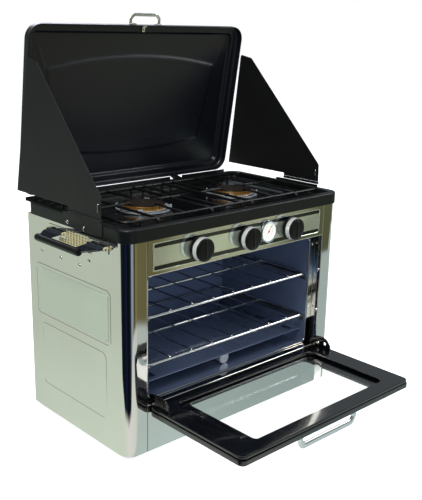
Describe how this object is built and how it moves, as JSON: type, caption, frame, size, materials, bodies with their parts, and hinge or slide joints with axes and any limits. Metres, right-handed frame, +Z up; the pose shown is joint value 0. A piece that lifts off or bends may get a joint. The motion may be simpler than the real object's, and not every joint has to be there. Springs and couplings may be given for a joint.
{
  "type": "portable gas oven with cook-top",
  "caption": "Portable stainless gas oven with a burner cook-top, folding lid, wind baffles, side handles, wire racks and a drop-down glass door.",
  "frame": {"origin": "middle of the bounding box at the soles of the feet, with the lid and the door open", "axes": "+X to the right as the user faces the door, -Y towards the user, +Z up"},
  "size_m": [0.6134, 0.5656, 0.73],
  "materials": {
    "stainless": "satin stainless sheet",
    "polished_steel": "mirror-polished stainless sheet",
    "panel_print": "glossy printed plate, left without words",
    "black_enamel": "gloss black enamel",
    "dark_sheet": "satin black coated sheet",
    "blue_enamel": "dark blue-black oven enamel",
    "chrome": "bright chrome plate",
    "zinc": "zinc-plated steel",
    "yellow_zinc": "yellow passivated zinc",
    "brass": "plain brass",
    "aluminium": "drawn aluminium",
    "black_plastic": "glossy black plastic",
    "rubber": "black rubber",
    "dial_white": "off-white printed dial",
    "red_paint": "red paint",
    "glass": "clear tempered glass",
    "mineral_wool": "mineral wool"
  },
  "bodies": {
    "cabinet": {"left_side_panel": "stainless", "right_side_panel": "stainless", "control_panel": "polished_steel", "panel_overlay": "panel_print", "lower_front_panel": "polished_steel", "back_panel": "stainless", "base_pan": "zinc", "feet": "rubber", "rating_plate": "panel_print", "cabinet_screws": "zinc", "cooktop_tray": "black_enamel", "drip_bowls": "aluminium", "burner_heads": "brass", "burner_caps": "black_enamel", "burner_tubes": "aluminium", "pot_grate": "black_enamel", "lid_hinge_brackets": "dark_sheet", "hinge_pins": "zinc", "baffle_leaves": "dark_sheet", "handle_brackets": "yellow_zinc", "vent_screens": "yellow_zinc", "gas_valves": "brass", "gas_manifold": "zinc", "inlet_fitting": "brass", "thermometer_case": "chrome", "thermometer_dial": "dial_white", "thermometer_lens": "glass", "thermometer_probe": "zinc", "oven_liner": "blue_enamel", "insulation": "mineral_wool", "oven_burner": "aluminium", "heat_spreader": "blue_enamel", "rack_guides": "zinc"},
    "lid": {"lid_shell": "black_enamel", "lid_hinge_legs": "dark_sheet", "lid_handle": "chrome", "lid_catch": "chrome"},
    "baffle_left": {"left_baffle": "dark_sheet", "left_baffle_clip": "chrome"},
    "baffle_right": {"right_baffle": "dark_sheet", "right_baffle_clip": "chrome"},
    "handle_left": {"left_handle_grip": "black_plastic", "left_handle_arms": "dark_sheet"},
    "handle_right": {"right_handle_grip": "black_plastic", "right_handle_arms": "dark_sheet"},
    "control_left": {"left_knob": "black_plastic", "left_valve_stem": "brass"},
    "control_oven": {"oven_knob": "black_plastic", "oven_valve_stem": "brass"},
    "control_right": {"right_knob": "black_plastic", "right_valve_stem": "brass"},
    "needle": {"thermometer_needle": "red_paint"},
    "rack_upper": {"upper_rack": "chrome"},
    "rack_lower": {"lower_rack": "chrome"},
    "door": {"door_inner_frame": "black_enamel", "door_outer_frame": "black_enamel", "door_glass": "glass", "door_handle": "chrome", "door_ears": "black_enamel"}
  },
  "joints": [
    {"name": "lid_hinge", "type": "hinge", "parent": "cabinet", "child": "lid", "pos_m": [0, 0.24615, 0.3959], "axis": [1, 0, 0], "range_deg": [-12, 81]},
    {"name": "left_baffle_hinge", "type": "hinge", "parent": "cabinet", "child": "baffle_left", "pos_m": [-0.2656, 0.04365, 0.4091], "axis": [0, 1, 0], "range_deg": [0, 87.5]},
    {"name": "right_baffle_hinge", "type": "hinge", "parent": "cabinet", "child": "baffle_right", "pos_m": [0.2656, 0.04365, 0.4091], "axis": [0, -1, 0], "range_deg": [0, 87.5]},
    {"name": "left_handle_fold", "type": "hinge", "parent": "cabinet", "child": "handle_left", "pos_m": [-0.2665, 0.07259, 0.365], "axis": [0, -1, 0], "range_deg": [0, 78]},
    {"name": "right_handle_fold", "type": "hinge", "parent": "cabinet", "child": "handle_right", "pos_m": [0.2665, 0.07259, 0.365], "axis": [0, 1, 0], "range_deg": [0, 78]},
    {"name": "left_knob_turn", "type": "hinge", "parent": "cabinet", "child": "control_left", "pos_m": [-0.112, -0.06365, 0.352], "axis": [0, -1, 0], "range_deg": [0, 180]},
    {"name": "oven_knob_turn", "type": "hinge", "parent": "cabinet", "child": "control_oven", "pos_m": [0.002, -0.06365, 0.352], "axis": [0, -1, 0], "range_deg": [0, 180]},
    {"name": "right_knob_turn", "type": "hinge", "parent": "cabinet", "child": "control_right", "pos_m": [0.116, -0.06365, 0.352], "axis": [0, -1, 0], "range_deg": [0, 180]},
    {"name": "thermometer_needle_turn", "type": "hinge", "parent": "cabinet", "child": "needle", "pos_m": [0.057, -0.06545, 0.354], "axis": [0, 1, 0], "range_deg": [-175, 95]},
    {"name": "upper_rack_slide", "type": "slide", "parent": "cabinet", "child": "rack_upper", "axis": [0, -1, 0], "range_m": [0, 0.2]},
    {"name": "lower_rack_slide", "type": "slide", "parent": "cabinet", "child": "rack_lower", "axis": [0, -1, 0], "range_m": [0, 0.2]},
    {"name": "door_hinge", "type": "hinge", "parent": "cabinet", "child": "door", "pos_m": [0, -0.05385, 0.088], "axis": [1, 0, 0], "range_deg": [-90, 0]}
  ]
}
